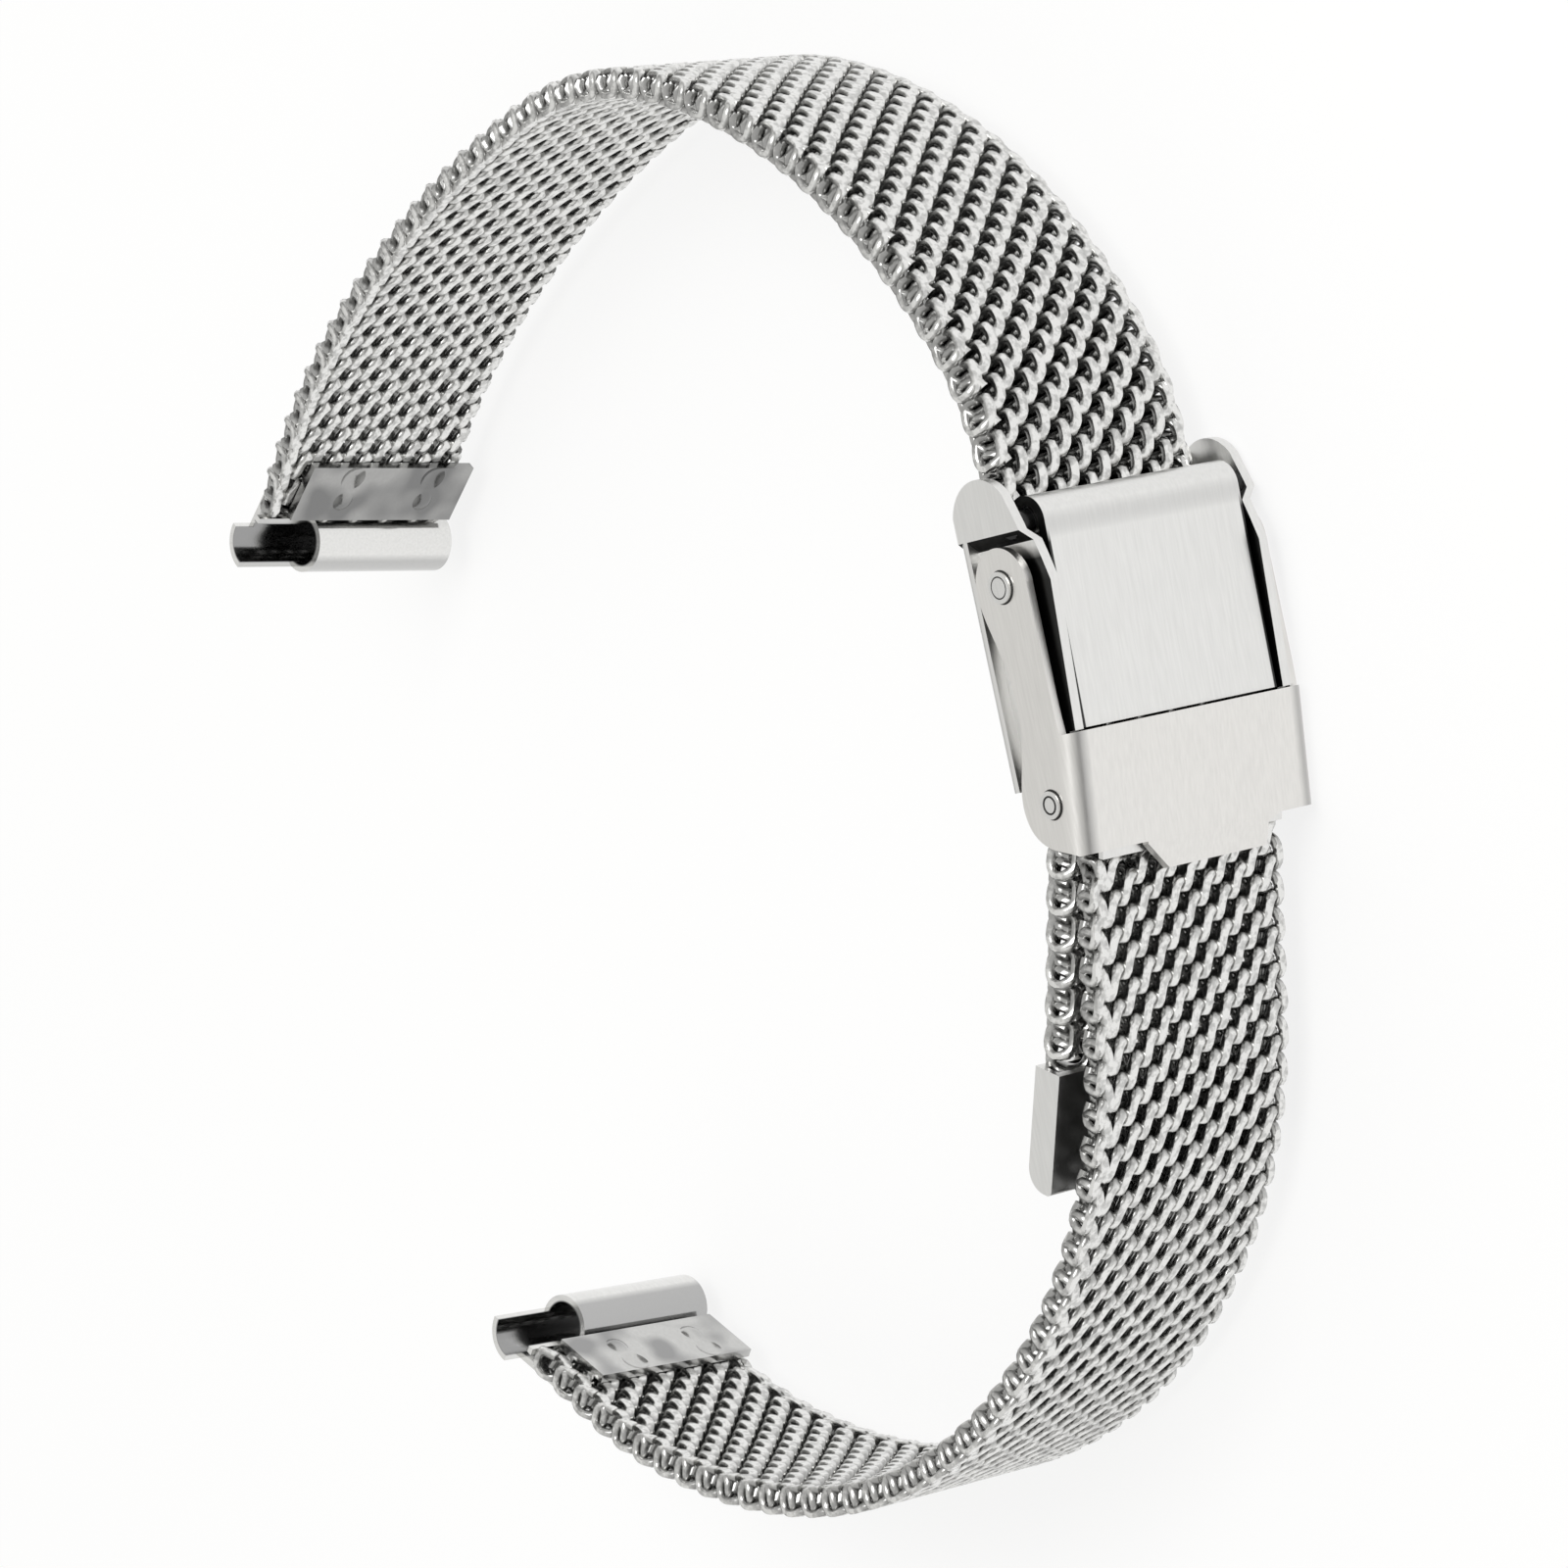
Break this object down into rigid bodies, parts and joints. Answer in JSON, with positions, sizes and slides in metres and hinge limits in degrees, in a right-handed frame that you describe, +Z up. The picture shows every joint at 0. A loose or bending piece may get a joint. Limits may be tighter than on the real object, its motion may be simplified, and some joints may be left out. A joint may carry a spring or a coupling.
{
  "type": "milanese mesh band",
  "caption": "Woven steel mesh wrist band on its edge, with a slider that clamps on the tail, a hinged locking plate, a safety cover with a hook, and a rolled bar tube at each end.",
  "frame": {"origin": "middle of the base, under the band lying on its edge", "axes": "+Z up across the strap's width, +Y from the low loop to the high loop, +X from the watch side to the clasp side"},
  "size_m": [0.0686, 0.0718, 0.015],
  "materials": {
    "woven_wire": "polished wire weave",
    "satin_sheet": "satin, fine lines along the strap",
    "bright_sheet": "polished sheet",
    "pin_steel": "polished"
  },
  "bodies": {
    "clasp_frame": {"slider_frame": "satin_sheet", "plate_pin": "pin_steel", "cover_pivot_rivets": "pin_steel"},
    "locking_plate": {"locking_plate": "satin_sheet"},
    "safety_cover": {"safety_cover": "satin_sheet", "hook_bar": "pin_steel"},
    "hook": {"hook_plate": "satin_sheet", "short_mesh_1": "woven_wire"},
    "tail": {"tail_mesh_in_clasp": "woven_wire"},
    "loose_tail": {"tail_mesh_loose": "woven_wire", "tail_end_tip": "satin_sheet"},
    "long_strap_1": {"long_mesh_1": "woven_wire"},
    "long_strap_2": {"long_mesh_2": "woven_wire"},
    "long_strap_3": {"long_mesh_3": "woven_wire"},
    "long_strap_4": {"long_mesh_4": "woven_wire"},
    "long_strap_5": {"long_mesh_5": "woven_wire"},
    "long_strap_6": {"long_mesh_6": "woven_wire"},
    "long_strap_7": {"long_mesh_7": "woven_wire"},
    "long_strap_8": {"long_mesh_8": "woven_wire", "bar_tube_long": "bright_sheet", "crimp_plate_long": "bright_sheet"},
    "short_strap_2": {"short_mesh_2": "woven_wire"},
    "short_strap_3": {"short_mesh_3": "woven_wire"},
    "short_strap_4": {"short_mesh_4": "woven_wire"},
    "short_strap_5": {"short_mesh_5": "woven_wire"},
    "short_strap_6": {"short_mesh_6": "woven_wire"},
    "short_strap_7": {"short_mesh_7": "woven_wire"},
    "short_strap_8": {"short_mesh_8": "woven_wire", "bar_tube_short": "bright_sheet", "crimp_plate_short": "bright_sheet"}
  },
  "joints": [
    {"name": "tail_slide", "type": "slide", "parent": "clasp_frame", "child": "tail", "axis": [0.3291, -0.9443, 0], "range_m": [-0.0011, 0]},
    {"name": "tail_bend", "type": "hinge", "parent": "tail", "child": "loose_tail", "pos_m": [0.03084, 0.0062, 0.00751], "axis": [0, 0, -1], "range_deg": [0, 30]},
    {"name": "plate_turn", "type": "hinge", "parent": "clasp_frame", "child": "locking_plate", "pos_m": [0.02876, 0.01903, 0.00751], "axis": [0, 0, 1], "range_deg": [0, 60]},
    {"name": "cover_turn", "type": "hinge", "parent": "clasp_frame", "child": "safety_cover", "pos_m": [0.02863, 0.01619, 0.00751], "axis": [0, 0, 1], "range_deg": [0, 90]},
    {"name": "hook_turn", "type": "hinge", "parent": "safety_cover", "child": "hook", "pos_m": [0.03225, 0.00678, 0.00751], "axis": [0, 0, 1], "range_deg": [0, 2]},
    {"name": "long_bend_1", "type": "hinge", "parent": "tail", "child": "long_strap_1", "pos_m": [0.02631, 0.01921, 0.00751], "axis": [0, 0, -1], "range_deg": [-3, 17]},
    {"name": "long_bend_2", "type": "hinge", "parent": "long_strap_1", "child": "long_strap_2", "pos_m": [0.02126, 0.02705, 0.00751], "axis": [0, 0, -1], "range_deg": [-3, 17]},
    {"name": "long_bend_3", "type": "hinge", "parent": "long_strap_2", "child": "long_strap_3", "pos_m": [0.01336, 0.03221, 0.00751], "axis": [0, 0, -1], "range_deg": [-3, 17]},
    {"name": "long_bend_4", "type": "hinge", "parent": "long_strap_3", "child": "long_strap_4", "pos_m": [0.00427, 0.03473, 0.00751], "axis": [-0.0024, -0.0187, -0.9998], "range_deg": [-3, 17]},
    {"name": "long_bend_5", "type": "hinge", "parent": "long_strap_4", "child": "long_strap_5", "pos_m": [-0.0051, 0.03401, 0.00751], "axis": [-0.0056, -0.044, -0.999], "range_deg": [-3, 17]},
    {"name": "long_bend_6", "type": "hinge", "parent": "long_strap_5", "child": "long_strap_6", "pos_m": [-0.0134, 0.02953, 0.00751], "axis": [-0.0088, -0.0692, -0.9976], "range_deg": [-3, 17]},
    {"name": "long_bend_7", "type": "hinge", "parent": "long_strap_6", "child": "long_strap_7", "pos_m": [-0.02073, 0.02355, 0.00751], "axis": [-0.0119, -0.0943, -0.9955], "range_deg": [-3, 17]},
    {"name": "long_bend_8", "type": "hinge", "parent": "long_strap_7", "child": "long_strap_8", "pos_m": [-0.02708, 0.01654, 0.00751], "axis": [-0.0151, -0.1192, -0.9928], "range_deg": [-3, 17]},
    {"name": "short_bend_1", "type": "hinge", "parent": "hook", "child": "short_strap_2", "pos_m": [0.03325, -0.00441, 0.00751], "axis": [0, 0, 1], "range_deg": [0, 16]},
    {"name": "short_bend_2", "type": "hinge", "parent": "short_strap_2", "child": "short_strap_3", "pos_m": [0.0326, -0.01296, 0.00751], "axis": [0, 0, 1], "range_deg": [-3, 16]},
    {"name": "short_bend_3", "type": "hinge", "parent": "short_strap_3", "child": "short_strap_4", "pos_m": [0.02911, -0.02078, 0.00751], "axis": [0, 0, 1], "range_deg": [-3, 16]},
    {"name": "short_bend_4", "type": "hinge", "parent": "short_strap_4", "child": "short_strap_5", "pos_m": [0.02347, -0.02725, 0.00751], "axis": [0, 0, 1], "range_deg": [-3, 16]},
    {"name": "short_bend_5", "type": "hinge", "parent": "short_strap_5", "child": "short_strap_6", "pos_m": [0.01622, -0.03185, 0.00751], "axis": [0.0125, 0.0162, 0.9998], "range_deg": [-3, 16]},
    {"name": "short_bend_6", "type": "hinge", "parent": "short_strap_6", "child": "short_strap_7", "pos_m": [0.00799, -0.03427, 0.00751], "axis": [0.0374, 0.0487, 0.9981], "range_deg": [-3, 16]},
    {"name": "short_bend_7", "type": "hinge", "parent": "short_strap_7", "child": "short_strap_8", "pos_m": [-0.0006, -0.03457, 0.00751], "axis": [0.0622, 0.0808, 0.9948], "range_deg": [-3, 16]}
  ]
}
